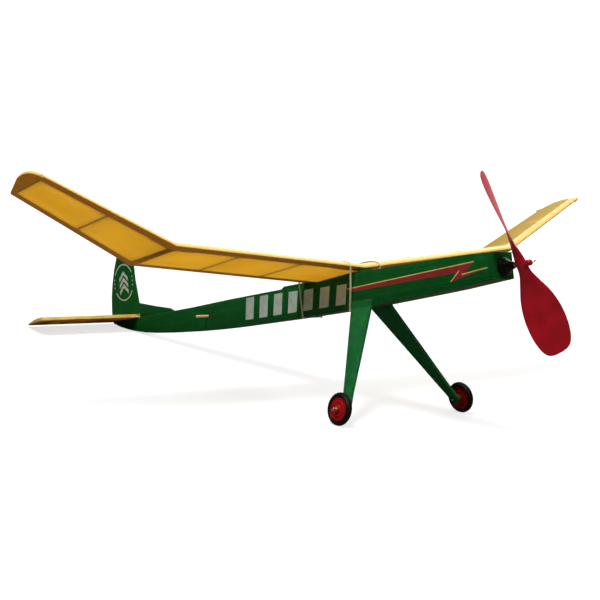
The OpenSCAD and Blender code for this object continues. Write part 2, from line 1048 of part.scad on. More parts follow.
module propeller() {
    color([0.66, 0.05, 0.08])
        stand()
            difference() {
                union() {
                    along_x(boss_back, 264, 2.3);
                    along_x(266, boss_front - 0.5, 2.4);
                    cone_x(boss_front - 0.5, boss_front, 2.4, 1.9);
                    translate([blade_x, 0, shaft_height])
                        rotate([blade_turn, 0, 0])
                            blades();
                    translate([boss_front - 0.1, 0, shaft_height])
                        rotate([0, 90, 0])
                            translate([0.85, -0.6, 0])
                                cube([1, 1.2, 1.2]);
                }
                along_x(250, 280, wire_radius + running_gap);
            }
}

// two bundles of rubber strip joined by a loop at each end
module rubber_motor() {
    color([0.25, 0.2, 0.15])
        stand()
            union() {
                for (side = [-1, 1])
                    translate([peg_x, 0, shaft_height + side * loop_radius])
                        rotate([0, 90, 0])
                            cylinder(r = strand_radius, h = 229.8 - peg_x);
                loop_end(peg_x, -1);
                loop_end(229.8, 1);
            }
}

module loop_end(x, way) {
    translate([x, 0, shaft_height])
        intersection() {
            rotate([90, 0, 0])
                rotate_extrude()
                    translate([loop_radius, 0])
                        circle(r = strand_radius);
            translate([way > 0 ? 0 : -20, -10, -10])
                cube([20, 20, 20]);
        }
}

module motor_peg() {
    color([0.8, 0.66, 0.44])
        stand()
            union() {
                across(peg_x, shaft_height, -7.6, 13.5, peg_radius);
                across(peg_x, shaft_height, -20.5, -7.6, peg_end_radius);
            }
}

// the stretch of band over one wing panel
module band_over() {
    inner_panel()
        plate(band_y - band_width / 2, band_y + band_width / 2)
            difference() {
                band_outline(film + band_sheet);
                band_outline(film);
                translate([-100, -5])
                    square([120, 5]);
            }
}

module band_outline(grow) {
    polygon(skin(wing_chord, wing_depth, grow, 22));
}

// the two stretches from the wing edges down to the fuselage bottom
module band_legs() {
    lean = atan((band_y - half_width - 0.6) / 33);
    translate([0, half_width + 0.1, -15.1])
        rotate([-lean, 0, 0])
            plate(0, band_sheet) {
                polygon([[92.35, 38.6], [93.15, 38.6], [92.9, 34], [81.2, -0.8], [78.8, -0.8],
                    [90.2, 33.2], [92.3, 34.2]]);
                polygon([[21.7, 32.6], [20.85, 32.6], [20.9, 31], [13.8, -0.8], [16.2, -0.8],
                    [22.7, 29.2]]);
            }
}

// a single loop of rubber strip: over both wing panels and twice under the fuselage
module wing_band() {
    width = 2 * (half_width + 0.1 + band_sheet);
    color([0.8, 0.75, 0.6])
        stand()
            union() {
                both_sides() {
                    band_over();
                    band_legs();
                }
                translate([78.8, -width / 2, -15.1 - band_sheet])
                    cube([band_width, width, band_sheet]);
                translate([13.8, -width / 2, -15.1 - band_sheet])
                    cube([band_width, width, band_sheet]);
            }
}

fuselage_side_port();
fuselage_side_starboard();
fuselage_top_sheet();
fuselage_bottom_sheet();
nose_former();
leg_former();
wing_former();
peg_former();
tail_block();
peg_plate_port();
peg_plate_starboard();
wing_platform();
inner_leading_edge_port();
inner_leading_edge_starboard();
inner_trailing_edge_port();
inner_trailing_edge_starboard();
inner_ribs_port();
inner_ribs_starboard();
inner_covering_port();
inner_covering_starboard();
tip_leading_edge_port();
tip_leading_edge_starboard();
tip_trailing_edge_port();
tip_trailing_edge_starboard();
tip_ribs_port();
tip_ribs_starboard();
tip_covering_port();
tip_covering_starboard();
tip_plate_port();
tip_plate_starboard();
joint_brace_port();
joint_brace_starboard();
centre_brace();
tailplane_leading_edge();
tailplane_trailing_edge();
tailplane_tip_port();
tailplane_tip_starboard();
tailplane_ribs();
tailplane_covering();
fin();
fin_fillet();
leg_port();
leg_starboard();
axle_port();
axle_starboard();
tyre_port();
tyre_starboard();
wheel_disc_port();
wheel_disc_starboard();
axle_washer_port();
axle_washer_starboard();
nose_button();
thrust_washer();
propeller_shaft();
propeller();
rubber_motor();
motor_peg();
wing_band();
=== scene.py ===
"""Rubber-powered free-flight model aeroplane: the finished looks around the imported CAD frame.

Shapes are worked out in millimetres in the level frame of the aeroplane, with x forward, y to port and z up,
and level() puts them on the ground in the row frame.
"""

import json
import math

import bmesh
import bpy
from mathutils import Matrix, Vector

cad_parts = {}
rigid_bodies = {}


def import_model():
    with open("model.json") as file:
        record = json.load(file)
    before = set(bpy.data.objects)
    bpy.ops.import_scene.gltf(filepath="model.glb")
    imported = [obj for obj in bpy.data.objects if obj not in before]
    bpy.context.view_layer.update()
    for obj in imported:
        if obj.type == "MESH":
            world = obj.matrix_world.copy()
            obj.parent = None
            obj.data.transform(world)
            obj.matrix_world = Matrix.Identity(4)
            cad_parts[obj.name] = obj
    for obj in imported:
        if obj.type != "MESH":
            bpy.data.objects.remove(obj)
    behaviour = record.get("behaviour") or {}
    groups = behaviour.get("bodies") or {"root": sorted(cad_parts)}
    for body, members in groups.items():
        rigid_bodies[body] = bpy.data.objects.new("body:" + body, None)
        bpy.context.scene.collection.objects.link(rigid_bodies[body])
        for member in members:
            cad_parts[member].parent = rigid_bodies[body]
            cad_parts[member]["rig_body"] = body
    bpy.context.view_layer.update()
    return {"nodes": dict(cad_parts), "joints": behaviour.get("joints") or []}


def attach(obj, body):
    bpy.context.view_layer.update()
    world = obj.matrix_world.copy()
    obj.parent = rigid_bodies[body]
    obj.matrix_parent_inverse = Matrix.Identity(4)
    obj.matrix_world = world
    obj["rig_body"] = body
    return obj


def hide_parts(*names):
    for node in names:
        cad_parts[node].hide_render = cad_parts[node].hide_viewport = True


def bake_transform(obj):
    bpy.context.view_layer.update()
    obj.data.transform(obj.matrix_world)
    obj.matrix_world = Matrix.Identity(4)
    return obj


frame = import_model()
NODES = frame["nodes"]

# the level frame, from the joint that the propeller shaft turns on
SHAFT = next(j for j in frame["joints"] if j["name"] == "shaft_spin")
SHAFT_X, SHAFT_Z = 255.0, 0.6
FORWARD = Vector(SHAFT["axis"]).normalized()
PORT = Vector((0, 1, 0))
UP = FORWARD.cross(PORT)
ORIGIN = Vector(SHAFT["pos_m"]) - (SHAFT_X * FORWARD + SHAFT_Z * UP) / 1000
TURN = Matrix((FORWARD, PORT, UP)).transposed()


def level(x, y, z):
    return ORIGIN + TURN @ Vector((x, y, z)) / 1000


# ---------------------------------------------------------------- sizes of the aeroplane, in millimetres

INNER_SPAN, OUTER_SPAN = 190.0, 117.0
CHORD, TIP_CHORD, DEPTH = 70.0, 51.0, 7.5
INNER_RISE, OUTER_RISE, INCIDENCE = math.radians(5.3), math.radians(25.6), math.radians(3.3)
WING_X, WING_Z = 92.0, 18.0
LEADING, TRAILING = 6.4, 8.0
TIP_SWEEP = 1.4
INNER_RIBS = (2.2, 65.0, 128.0, 187.4)
TIP_RIBS = (2.6, 58.5, 116.2)
RIB = 1.6
HALF_BODY, TAIL_X, TAIL_HALF = 10.5, -333.0, 2.2
DECK_Z, TAILPLANE_X, TAILPLANE_CHORD, TAILPLANE_HALF = 12.2, -278.0, 60.0, 116.5
TAIL_TIP = TAILPLANE_HALF - 20
TAIL_DEPTH = ((0.0, 2.94), (0.8, 3.5), (16.0, 3.5), (30.0, 2.8), (45.0, 1.68), (60.0, 0.77))
TAIL_FILM = 0.3
WHEEL = (123.5, 68.3, -96.8)
CAMBER = math.radians(9)
BLADE_TURN = math.radians(27)
BLADE_X = 265


# ---------------------------------------------------------------- mesh helpers

def set_sharp(mesh, angle):
    mesh.polygons.foreach_set("use_smooth", [True] * len(mesh.polygons))
    mesh.set_sharp_from_angle(angle=math.radians(angle))


def piece(name, verts, faces, material, body, stands_for=(), sharp=35, floats=None):
    """A new mesh from level-frame points in millimetres. floats holds named values for each point."""
    mesh = bpy.data.meshes.new(name)
    mesh.from_pydata([level(*v) for v in verts], [], faces)
    for key, values in (floats or {}).items():
        mesh.attributes.new(key, "FLOAT", "POINT").data.foreach_set("value", values)
    bm = bmesh.new()
    bm.from_mesh(mesh)
    bmesh.ops.recalc_face_normals(bm, faces=bm.faces)
    bm.to_mesh(mesh)
    bm.free()
    mesh.materials.append(material)
    set_sharp(mesh, sharp)
    obj = bpy.data.objects.new(name, mesh)
    bpy.context.scene.collection.objects.link(obj)
    if body:
        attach(obj, body)
    if stands_for:
        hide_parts(*stands_for)
    return obj


def refine(node, material, round_mm=0.3, segments=2, sharp=30):
    """A copy of a CAD node with its edges rounded, which stands for it."""
    mesh = NODES[node].data.copy()
    mesh.name = node + "_finish"
    bm = bmesh.new()
    bm.from_mesh(mesh)
    bmesh.ops.remove_doubles(bm, verts=bm.verts, dist=2e-6)
    bmesh.ops.dissolve_limit(bm, angle_limit=math.radians(0.6), verts=bm.verts, edges=bm.edges)
    edges = [e for e in bm.edges if e.is_manifold and e.calc_face_angle(0) > math.radians(28)]
    bmesh.ops.bevel(bm, geom=edges, offset=round_mm / 1000, segments=segments, profile=0.5,
                    affect="EDGES", clamp_overlap=True)
    bmesh.ops.triangulate(bm, faces=[f for f in bm.faces if len(f.verts) > 4])
    bmesh.ops.recalc_face_normals(bm, faces=bm.faces)
    fresh = bpy.data.meshes.new(node + "_finish")
    bm.to_mesh(fresh)
    bm.free()
    bpy.data.meshes.remove(mesh)
    fresh.materials.append(material)
    set_sharp(fresh, sharp)
    obj = bpy.data.objects.new(node + "_finish", fresh)
    bpy.context.scene.collection.objects.link(obj)
    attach(obj, NODES[node]["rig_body"])
    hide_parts(node)
    return obj


def grid_faces(rows, columns, closed):
    """Quads between rows of points, each row columns long, joined end to end if closed."""
    last = columns if closed else columns - 1
    return [(r * columns + c, r * columns + (c + 1) % columns,
             (r + 1) * columns + (c + 1) % columns, (r + 1) * columns + c)
            for r in range(rows - 1) for c in range(last)]


def smooth_line(points, steps):
    """Points on a Catmull-Rom curve through the given points, with steps to each stretch."""
    made = []
    for i in range(len(points) - 1):
        a = points[max(i - 1, 0)]
        b, c = points[i], points[i + 1]
        d = points[min(i + 2, len(points) - 1)]
        for k in range(steps):
            t = k / steps
            made.append(tuple(
                0.5 * (2 * q + (r - p) * t + (2 * p - 5 * q + 4 * r - s) * t * t
                       + (3 * q - p - 3 * r + s) * t ** 3)
                for p, q, r, s in zip(a, b, c, d)))
    made.append(tuple(points[-1]))
    return made


def lathe(profile, steps, place):
    """Points and faces of a profile of (along, radius) turned about an axis.
    place(along, across, up) gives the point."""
    verts, faces = [], []
    count = len(profile)
    for k in range(steps):
        a = 2 * math.pi * k / steps
        verts += [place(u, r * math.cos(a), r * math.sin(a)) for u, r in profile]
    for k in range(steps):
        m = (k + 1) % steps
        faces += [(k * count + i, m * count + i, m * count + (i + 1) % count, k * count + (i + 1) % count)
                  for i in range(count)]
    return verts, faces


def sweep(path, outline, side, closed=False):
    """A tube of the given outline, drawn in (side, across) at each point of the path."""
    verts, n = [], len(path)
    for i, p in enumerate(path):
        a = Vector(path[(i - 1) % n] if closed or i else p)
        b = Vector(path[(i + 1) % n] if closed or i < n - 1 else p)
        along = (b - a).normalized()
        across = along.cross(side).normalized()
        verts += [tuple(Vector(p) + side * u + across * v) for u, v in outline]
    m = len(outline)
    faces = [(r * m + c, r * m + (c + 1) % m, ((r + 1) % n) * m + (c + 1) % m, ((r + 1) % n) * m + c)
             for r in range(n if closed else n - 1) for c in range(m)]
    if not closed:
        faces += [tuple(range(m)), tuple(range((n - 1) * m, n * m))]
    return verts, faces


def join(parts):
    """One list of points and one of faces from several."""
    verts, faces = [], []
    for v, f in parts:
        start = len(verts)
        verts += v
        faces += [tuple(i + start for i in face) for face in f]
    return verts, faces


# ---------------------------------------------------------------- material helpers

def put(tree, kind, inputs=None, **settings):
    made = tree.nodes.new("ShaderNode" + kind)
    for key, value in settings.items():
        setattr(made, key, value)
    for key, value in (inputs or {}).items():
        if isinstance(value, bpy.types.NodeSocket):
            tree.links.new(value, made.inputs[key])
        else:
            made.inputs[key].default_value = value
    return made


def new_material(name):
    made = bpy.data.materials.new(name)
    made.use_nodes = True
    tree = made.node_tree
    return made, tree, tree.nodes["Principled BSDF"], tree.nodes["Material Output"]


def stretched(tree, along, across, along_scale, across_scale):
    """Texture coordinates that follow a grain: along_scale and across_scale are in cycles a metre."""
    at = put(tree, "TexCoord").outputs["Object"]
    third = along.cross(across)
    dots = [put(tree, "VectorMath", {0: at, 1: tuple(v * s)}, operation="DOT_PRODUCT").outputs["Value"]
            for v, s in ((along, along_scale), (across, across_scale), (third, across_scale))]
    return put(tree, "CombineXYZ", {0: dots[0], 1: dots[1], 2: dots[2]}).outputs[0]


def speckle(tree, vector, scale, detail=4.0, rough=0.55):
    inputs = {"Vector": vector, "Scale": scale, "Detail": detail, "Roughness": rough}
    return put(tree, "TexNoise", inputs).outputs["Fac"]


def span(tree, value, low, high, to_low=0.0, to_high=1.0):
    return put(tree, "MapRange", {"Value": value, "From Min": low, "From Max": high,
                                  "To Min": to_low, "To Max": to_high}, interpolation_type="SMOOTHSTEP").outputs[0]


def blend_colour(tree, share, a, b, kind="MIX"):
    made = put(tree, "Mix", data_type="RGBA", blend_type=kind)
    for key, value in ((0, share), (6, a), (7, b)):
        if isinstance(value, bpy.types.NodeSocket):
            tree.links.new(value, made.inputs[key])
        else:
            made.inputs[key].default_value = (*value, 1) if key else value
    return made.outputs[2]


def math_node(tree, kind, a, b=0.0):
    return put(tree, "Math", {0: a, 1: b}, operation=kind).outputs[0]


def bump(tree, shader, height, distance, strength=1.0):
    made = put(tree, "Bump", {"Height": height, "Distance": distance, "Strength": strength})
    tree.links.new(made.outputs[0], shader.inputs["Normal"])


def edge_wear(tree, radius, breakup):
    """1 on worn stretches of the edges and 0 elsewhere."""
    rounded = put(tree, "Bevel", {"Radius": radius}, samples=4).outputs[0]
    flat = put(tree, "NewGeometry").outputs["Normal"]
    match = put(tree, "VectorMath", {0: rounded, 1: flat}, operation="DOT_PRODUCT").outputs["Value"]
    edge = span(tree, match, 0.985, 0.9)
    return math_node(tree, "MULTIPLY", edge, span(tree, breakup, 0.52, 0.64))


def wood(name, light, dark, along=FORWARD, across=UP, rough=(0.42, 0.62), streaks=1.0, coat=0.0,
         pores=0.5, wear=None, relief=0.00012, painted_light_top=None, specular=0.05):
    """Sheet or strip wood, bare, dyed or painted thinly enough for the grain to show. Faces that point up are blended
    towards a given paler colour, as painted light.
    """
    made, tree, shader, _ = new_material(name)
    grain = speckle(tree, stretched(tree, along, across, 9, 620), 1.0, 7.0, 0.62)
    fine = speckle(tree, stretched(tree, along, across, 70, 2600), 1.0, 3.0)
    dash = speckle(tree, stretched(tree, along, across, 160, 3800), 1.0, 2.0, 0.4)
    at = put(tree, "TexCoord").outputs["Object"]
    cloud = speckle(tree, at, 22.0, 5.0)
    patch = speckle(tree, at, 130.0, 6.0, 0.65)
    tone = math_node(tree, "ADD", math_node(tree, "MULTIPLY", grain, 0.62), math_node(tree, "MULTIPLY", fine, 0.38))
    share = span(tree, tone, 0.5 - 0.16 / streaks, 0.5 + 0.16 / streaks)
    colour = blend_colour(tree, share, dark, light)
    middle = [0.6 * a + 0.4 * b for a, b in zip(light, dark)]
    colour = blend_colour(tree, span(tree, cloud, 0.35, 0.7, 0.0, 0.55), colour, middle)
    shade = blend_colour(tree, span(tree, patch, 0.3, 0.75), (0.86, 0.86, 0.86), (1.12, 1.12, 1.1))
    colour = blend_colour(tree, 1.0, colour, shade, "MULTIPLY")
    hole = span(tree, dash, 0.64, 0.72)
    colour = blend_colour(tree, math_node(tree, "MULTIPLY", hole, pores), colour, [0.45 * c for c in dark])
    if wear:
        worn = edge_wear(tree, 0.0007, speckle(tree, at, 240.0, 5.0, 0.7))
        colour = blend_colour(tree, math_node(tree, "MULTIPLY", worn, 0.75), colour, wear)
    # painted light: faces that point up are blended towards a paler colour
    if painted_light_top:
        facing = put(tree, "SeparateXYZ", {0: put(tree, "NewGeometry").outputs["Normal"]}).outputs[2]
        up_facing_painted_light = blend_colour(tree, share, [0.82 * c for c in painted_light_top], painted_light_top)
        colour = blend_colour(tree, span(tree, facing, -0.1, 0.35), colour, up_facing_painted_light)
    tree.links.new(colour, shader.inputs["Base Color"])
    tree.links.new(span(tree, patch, 0.3, 0.7, *rough), shader.inputs["Roughness"])
    shader.inputs["Coat Weight"].default_value = coat
    shader.inputs["Coat Roughness"].default_value = 0.25
    shader.inputs["Specular IOR Level"].default_value = specular
    height = math_node(tree, "SUBTRACT", tone, math_node(tree, "MULTIPLY", hole, 0.8))
    bump(tree, shader, height, relief)
    return made


def tissue(name):
    """Doped tissue paper over the frame. The mesh carries gap, the distance in millimetres from the wood behind,
    and over, which is 1 on the upper skin. Over the wood the paper is browner, with painted light on the upper skin
    and painted shade on the lower one; the lower skin also has painted light near the wood."""
    made, tree, shader, out = new_material(name)
    at = put(tree, "TexCoord").outputs["Object"]
    gap = put(tree, "Attribute", attribute_name="gap").outputs["Fac"]
    over = put(tree, "Attribute", attribute_name="over").outputs["Fac"]
    cloud = speckle(tree, at, 28.0, 5.0, 0.6)
    fibre = speckle(tree, stretched(tree, PORT, FORWARD, 260, 1500), 1.0, 4.0, 0.7)
    strands = speckle(tree, stretched(tree, (PORT + FORWARD * 0.6).normalized(), UP, 330, 2100), 1.0, 3.0, 0.7)
    fleck = speckle(tree, at, 900.0, 3.0, 0.6)
    paper = blend_colour(tree, span(tree, cloud, 0.32, 0.68), (0.84, 0.58, 0.115), (0.92, 0.66, 0.155))
    hair = math_node(tree, "ADD", fibre, strands)
    paper = blend_colour(tree, span(tree, hair, 0.9, 1.2, 0.0, 0.55), paper, (0.92, 0.70, 0.21))
    paper = blend_colour(tree, span(tree, fleck, 0.66, 0.74, 0.0, 0.5), paper, (0.55, 0.30, 0.04))
    # painted light: the lower skin is painted paler within 12 mm of the wood behind it
    painted_light_near_wood = math_node(tree, "MULTIPLY", math_node(tree, "SUBTRACT", 1.0, over), span(tree, gap, 0.0, 12.0, 0.75, 0.0))
    paper = blend_colour(tree, painted_light_near_wood, paper, (1.0, 0.80, 0.26))
    # over the wood the paper is browner; besides that the upper skin gets painted light and the lower skin painted
    # shade
    pale = blend_colour(tree, span(tree, hair, 0.85, 1.2), (0.80, 0.52, 0.14), (0.92, 0.68, 0.26))
    painted_shade_over_wood = blend_colour(tree, span(tree, hair, 0.85, 1.2), (0.60, 0.17, 0.002), (0.76, 0.25, 0.004))
    over_wood_painted_light_and_shade = blend_colour(tree, over, painted_shade_over_wood, pale)
    edge = math_node(tree, "ADD", gap, math_node(tree, "MULTIPLY", math_node(tree, "SUBTRACT", cloud, 0.5), 0.25))
    behind = span(tree, edge, -0.12, 0.18, 1.0, 0.0)
    colour = blend_colour(tree, math_node(tree, "MULTIPLY", behind, 0.92), paper, over_wood_painted_light_and_shade)
    tree.links.new(colour, shader.inputs["Base Color"])
    tree.links.new(span(tree, cloud, 0.3, 0.7, 0.36, 0.55), shader.inputs["Roughness"])
    shader.inputs["Specular IOR Level"].default_value = 0.06
    wrinkle = speckle(tree, stretched(tree, (FORWARD + PORT * 0.5).normalized(), PORT, 18, 95), 1.0, 3.0)
    height = math_node(tree, "ADD", math_node(tree, "MULTIPLY", hair, 0.16), math_node(tree, "MULTIPLY", wrinkle, 0.8))
    bump(tree, shader, height, 0.00022)
    through = put(tree, "BsdfTranslucent", {"Color": colour})
    through_share = span(tree, over, 0.0, 1.0, 0.94, 0.58)
    clear = math_node(tree, "MULTIPLY", math_node(tree, "SUBTRACT", 1.0, behind), through_share)
    mixed = put(tree, "MixShader", {0: clear, 1: shader.outputs[0], 2: through.outputs[0]})
    tree.links.new(mixed.outputs[0], out.inputs["Surface"])
    return made


def plastic(name, light, dark, rough, scale=60.0, coat=0.0, wear=None, relief=0.00003, specular=0.5, sheen=0.0):
    """Moulded plastic or rubber with flow marks, fine texture and scuffs."""
    made, tree, shader, _ = new_material(name)
    at = put(tree, "TexCoord").outputs["Object"]
    cloud = speckle(tree, at, scale, 4.0)
    grit = speckle(tree, at, 2600.0, 3.0)
    scuff = speckle(tree, stretched(tree, (FORWARD + UP).normalized(), PORT, 60, 1700), 1.0, 4.0, 0.7)
    colour = blend_colour(tree, span(tree, cloud, 0.3, 0.7), dark, light)
    if wear:
        worn = edge_wear(tree, 0.0005, speckle(tree, at, 420.0, 4.0, 0.7))
        colour = blend_colour(tree, worn, colour, wear)
    tree.links.new(colour, shader.inputs["Base Color"])
    spread = math_node(tree, "ADD", span(tree, cloud, 0.3, 0.7, rough[0], rough[1]),
                       span(tree, scuff, 0.6, 0.72, 0.0, 0.12))
    tree.links.new(spread, shader.inputs["Roughness"])
    shader.inputs["Coat Weight"].default_value = coat
    shader.inputs["Specular IOR Level"].default_value = specular
    shader.inputs["Sheen Weight"].default_value = sheen
    shader.inputs["Sheen Roughness"].default_value = 0.35
    shader.inputs["Sheen Tint"].default_value = (1.0, 0.30, 0.36, 1)
    bump(tree, shader, math_node(tree, "ADD", grit, math_node(tree, "MULTIPLY", scuff, 0.7)), relief)
    return made


def metal(name, light, dark, rough):
    """Drawn wire or turned metal, slightly tarnished."""
    made, tree, shader, _ = new_material(name)
    at = put(tree, "TexCoord").outputs["Object"]
    cloud = speckle(tree, at, 300.0, 5.0, 0.7)
    drawn = speckle(tree, stretched(tree, FORWARD, UP, 60, 5200), 1.0, 3.0)
    colour = blend_colour(tree, span(tree, cloud, 0.35, 0.7), light, dark)
    tree.links.new(colour, shader.inputs["Base Color"])
    tree.links.new(span(tree, cloud, 0.3, 0.7, *rough), shader.inputs["Roughness"])
    shader.inputs["Metallic"].default_value = 1.0
    bump(tree, shader, drawn, 0.00001)
    return made


GREEN_LIGHT, GREEN_DARK = (0.006, 0.112, 0.019), (0.002, 0.058, 0.008)
LEG_LEAN = math.radians(31)
LEG_ALONG = (TURN @ Vector((0.10, math.sin(LEG_LEAN), -math.cos(LEG_LEAN)))).normalized()
green = wood("green_sheet", GREEN_LIGHT, GREEN_DARK, wear=(0.30, 0.24, 0.12))
green_leg = {side: wood("green_leg_" + name, (0.014, 0.150, 0.040), (0.005, 0.085, 0.020),
                        along=Vector((LEG_ALONG.x, side * LEG_ALONG.y, LEG_ALONG.z)), across=FORWARD,
                        wear=(0.26, 0.22, 0.12))
             for side, name in ((1, "port"), (-1, "starboard"))}
green_fin = wood("green_fin", GREEN_LIGHT, GREEN_DARK, along=UP, across=FORWARD, wear=(0.30, 0.24, 0.12))
bottom = wood("bottom_sheet", (0.105, 0.105, 0.034), (0.040, 0.056, 0.018), rough=(0.5, 0.7))
bare = wood("bare_wood", (0.62, 0.46, 0.27), (0.46, 0.31, 0.16), along=UP, across=PORT, rough=(0.6, 0.8))
spar = wood("spar_wood", (0.60, 0.33, 0.075), (0.40, 0.18, 0.03), along=PORT, across=FORWARD, rough=(0.45, 0.65))
# the tip plates get painted light on the faces that point up
tip_wood = wood("tip_wood", (0.85, 0.33, 0.008), (0.64, 0.22, 0.005), along=FORWARD, across=PORT, rough=(0.42, 0.6),
                painted_light_top=(0.90, 0.62, 0.20))
hard = wood("hard_sheet", (0.40, 0.24, 0.11), (0.26, 0.14, 0.06), along=UP, across=FORWARD, rough=(0.55, 0.75))
dowel = wood("dowel_wood", (0.74, 0.52, 0.27), (0.52, 0.33, 0.15), along=PORT, across=UP, rough=(0.5, 0.7))
yellow = tissue("yellow_tissue")
tyre_black = plastic("tyre_rubber", (0.007, 0.005, 0.004), (0.003, 0.002, 0.002), (0.42, 0.6),
                     wear=(0.16, 0.13, 0.10), specular=0.14)
red = plastic("red_plastic", (0.46, 0.002, 0.014), (0.34, 0.001, 0.008), (0.28, 0.42),
              coat=0.03, specular=0.2, sheen=0.5)
disc_red = plastic("disc_red_plastic", (0.36, 0.005, 0.007), (0.26, 0.003, 0.005), (0.4, 0.55), specular=0.08)
black = plastic("black_plastic", (0.005, 0.004, 0.003), (0.002, 0.002, 0.002), (0.34, 0.5), specular=0.1)
steel = metal("steel_wire", (0.56, 0.54, 0.50), (0.26, 0.24, 0.21), (0.28, 0.5))
brass = metal("brass", (0.72, 0.52, 0.24), (0.36, 0.24, 0.10), (0.25, 0.45))
rubber = plastic("rubber_strip", (0.30, 0.22, 0.13), (0.19, 0.135, 0.075), (0.5, 0.65), scale=200.0)
pale_rubber = plastic("pale_rubber", (0.74, 0.66, 0.46), (0.55, 0.47, 0.30), (0.5, 0.65), scale=160.0)
white_paint = plastic("white_paint", (0.50, 0.56, 0.49), (0.38, 0.45, 0.38), (0.42, 0.6), scale=150.0, relief=0.00005)
red_paint = plastic("red_paint", (0.30, 0.010, 0.016), (0.20, 0.006, 0.010), (0.4, 0.55), scale=120.0, relief=0.00005)
yellow_paint = plastic("yellow_paint", (0.80, 0.56, 0.16), (0.62, 0.40, 0.10), (0.4, 0.55), scale=120.0,
                       relief=0.00005)


# ---------------------------------------------------------------- wing

def rise(s):
    return 10 * (0.2969 * math.sqrt(s) - 0.126 * s - 0.3516 * s * s + 0.2843 * s ** 3 - 0.1015 * s ** 4)


def upper(s, t):
    return t * (0.24 + 0.76 * rise(s) if s < 0.3 else rise(s)) + 0.9 * s


def lower(s, t):
    return t * (0.24 * (1 - s / 0.07) ** 2 if s < 0.07 else 0)


def stations(marks, step):
    """Places along a line, at the marks and evenly in between at about the step."""
    made = []
    for a, b in zip(marks, marks[1:]):
        n = max(1, round((b - a) / step))
        made += [a + (b - a) * k / n for k in range(n)]
    return made + [marks[-1]]


def rib_marks(ribs, lines, end):
    edges = {0.0, end, *(r + d for r in ribs for d in (-RIB / 2, RIB / 2)),
             *(line + d for line in lines for d in (-0.7, -0.35, 0.0, 0.35, 0.7))}
    return stations(sorted(e for e in edges if 0 <= e <= end), 2.6)


def sag_share(y, ribs):
    """How far the tissue has pulled in between two ribs, 0 on a rib and 1 half way."""
    inside = [(a, b) for a, b in zip(ribs, ribs[1:]) if a + RIB / 2 < y < b - RIB / 2]
    if not inside:
        return 0.0
    a, b = inside[0]
    u = (y - a - RIB / 2) / (b - a - RIB)
    return 1 - abs(2 * u - 1) ** 2.3


def wing_point(panel, side, x, y, z):
    """Level-frame point from one on a port panel, mirrored for starboard."""
    if panel == "tip":
        c, s = math.cos(OUTER_RISE), math.sin(OUTER_RISE)
        y, z = (y * c - z * s + INNER_SPAN * math.cos(INNER_RISE),
                y * s + z * c + INNER_SPAN * math.sin(INNER_RISE))
    else:
        c, s = math.cos(INNER_RISE), math.sin(INNER_RISE)
        y, z = y * c - z * s, y * s + z * c
    c, s = math.cos(INCIDENCE), math.sin(INCIDENCE)
    return (WING_X + x * c - z * s, side * y, WING_Z + x * s + z * c)


SKIN = 0.14
MITRE = math.tan((OUTER_RISE - INNER_RISE) / 2)


def covering(panel, side, name):
    """The tissue of one wing panel, pulled down between the ribs."""
    ribs, end = (INNER_RIBS, INNER_SPAN) if panel == "inner" else (TIP_RIBS, OUTER_SPAN)
    lines = (65.0, 128.0, 190.0) if panel == "inner" else (0.0, 58.5, 116.6)
    spanwise = rib_marks(ribs, lines, end)
    verts, gaps, overs = [], [], []
    for y in spanwise:
        part = y / OUTER_SPAN if panel == "tip" else 0.0
        chord = CHORD + (TIP_CHORD - CHORD) * part
        depth = DEPTH * chord / CHORD
        front = LEADING / CHORD * (1 - part) + LEADING * 0.85 / TIP_CHORD * part
        back = 1 - TRAILING / CHORD * (1 - part) - TRAILING * 0.85 / TIP_CHORD * part
        shares = ([(i / 9) ** 2 * front for i in range(10)]
                  + [front + (back - front) * i / 16 for i in range(1, 17)]
                  + [back + (1 - back) * i / 3 for i in range(1, 4)])
        top_front, top_back = upper(front, depth), upper(back, depth)
        pull = sag_share(y, ribs)
        from_line = min(abs(y - r) for r in lines) - 0.35
        loop = []
        for s in shares:
            z = upper(s, depth)
            if front < s < back:
                straight = top_front + (top_back - top_front) * (s - front) / (back - front)
                z += (straight - z) * pull * 0.62
            loop.append((s, z + SKIN, 1.0))
        for s in reversed(shares):
            z = lower(s, depth)
            if front < s < back:
                u = (s - front) / (back - front)
                z += 0.45 * pull * 4 * u * (1 - u)
            loop.append((s, z - SKIN, 0.0))
        for s, z, over in loop:
            ends = ((z * math.tan(INNER_RISE), INNER_SPAN - z * MITRE) if panel == "inner"
                    else (z * MITRE, OUTER_SPAN + 0.1))
            at = ends[0] + (ends[1] - ends[0]) * y / end
            x = SKIN * (1 - 2 * s) - s * chord - TIP_SWEEP * part
            verts.append(wing_point(panel, side, x, at, z))
            gaps.append(min(from_line, (s - front) * chord, (back - s) * chord))
            overs.append(over)
    columns = len(verts) // len(spanwise)
    faces = grid_faces(len(spanwise), columns, True)
    if panel == "tip":
        start = (len(spanwise) - 1) * columns
        half = columns // 2
        faces += [(start + i, start + i + 1, start + columns - 2 - i, start + columns - 1 - i)
                  for i in range(half - 1)]
    obj = piece(f"wing_tissue_{panel}_{name}", verts, faces, yellow, None,
                sharp=32, floats={"gap": gaps, "over": overs})
    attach(obj, "airframe")
    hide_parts(f"{panel}_covering_{name}")
    return obj


TIP_EDGE = [(0.2, 0), (0.3, 2.6), (-0.6, 5.6), (-2.4, 8.4), (-5.5, 10.1), (-10, 10.9), (-16, 10.8), (-22, 9.9),
            (-28, 8.3), (-34, 6.4), (-40, 4.6), (-45, 3), (-50.6, 1.2), (-51, 0)]


